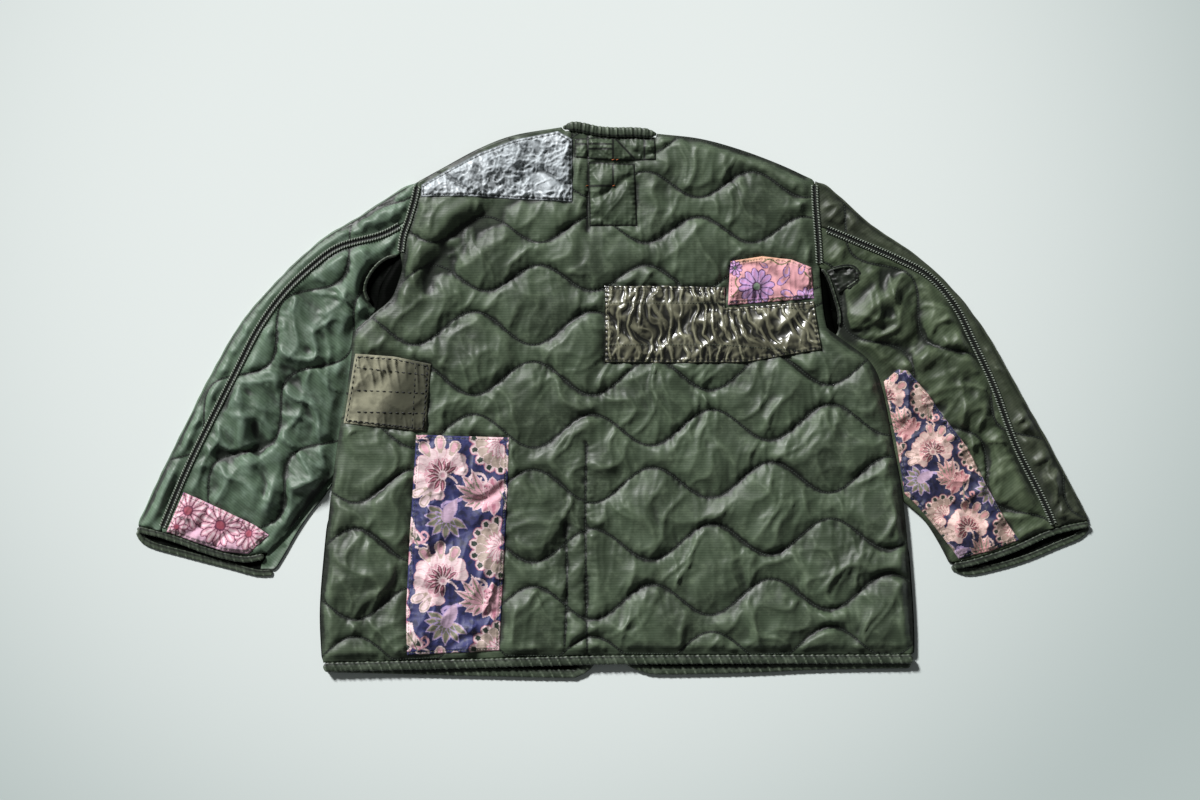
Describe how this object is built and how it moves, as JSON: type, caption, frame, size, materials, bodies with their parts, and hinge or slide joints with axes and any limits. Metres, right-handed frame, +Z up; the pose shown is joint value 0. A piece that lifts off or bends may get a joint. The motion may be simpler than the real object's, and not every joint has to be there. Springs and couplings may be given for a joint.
{
  "type": "patched quilted jacket",
  "caption": "Quilted collarless jacket mended with sewn-on patches, laid flat on its fronts with its back up and sleeves spread.",
  "frame": {"origin": "on the surface it lies on, under the middle of the jacket's bounding box", "axes": "+Z up from the surface, +Y from hem to neck, +X towards the jacket's own right sleeve, which is the right one as seen from above"},
  "size_m": [1.1452, 0.6671, 0.0205],
  "materials": {
    "green_nylon": "quilted ripstop nylon, satin, worn",
    "green_binding": "puckered nylon tape, satin",
    "silver_foil_cloth": "crinkled metallic-coated cloth",
    "drab_cotton": "plain-woven cotton, matt, faded",
    "brocade": "woven brocade in navy, pink and lilac",
    "pink_floral_cotton": "printed cotton, matt",
    "shiny_drab_nylon": "crinkled coated nylon, glossy"
  },
  "bodies": {
    "root": {"back_panel": "green_nylon", "front_left": "green_nylon", "front_right": "green_nylon", "left_top_sleeve": "green_nylon", "right_top_sleeve": "green_nylon", "left_under_sleeve": "green_nylon", "right_under_sleeve": "green_nylon", "right_vent_flap": "green_nylon", "neck_facing": "green_nylon", "neck_tab": "green_nylon", "neck_binding": "green_binding", "back_hem_binding": "green_binding", "front_hem_binding_left": "green_binding", "front_hem_binding_right": "green_binding", "front_edge_binding_left": "green_binding", "front_edge_binding_right": "green_binding", "left_cuff_binding_upper": "green_binding", "right_cuff_binding_upper": "green_binding", "left_cuff_binding_lower": "green_binding", "right_cuff_binding_lower": "green_binding", "left_armhole_tape": "green_binding", "right_armhole_tape": "green_binding", "left_sleeve_tape": "green_binding", "right_sleeve_tape": "green_binding", "patch_silver": "silver_foil_cloth", "patch_tan": "drab_cotton", "patch_brocade": "brocade", "patch_sleeve_right": "brocade", "patch_floral": "pink_floral_cotton", "patch_cuff_left": "pink_floral_cotton", "patch_shiny": "shiny_drab_nylon"}
  },
  "joints": []
}
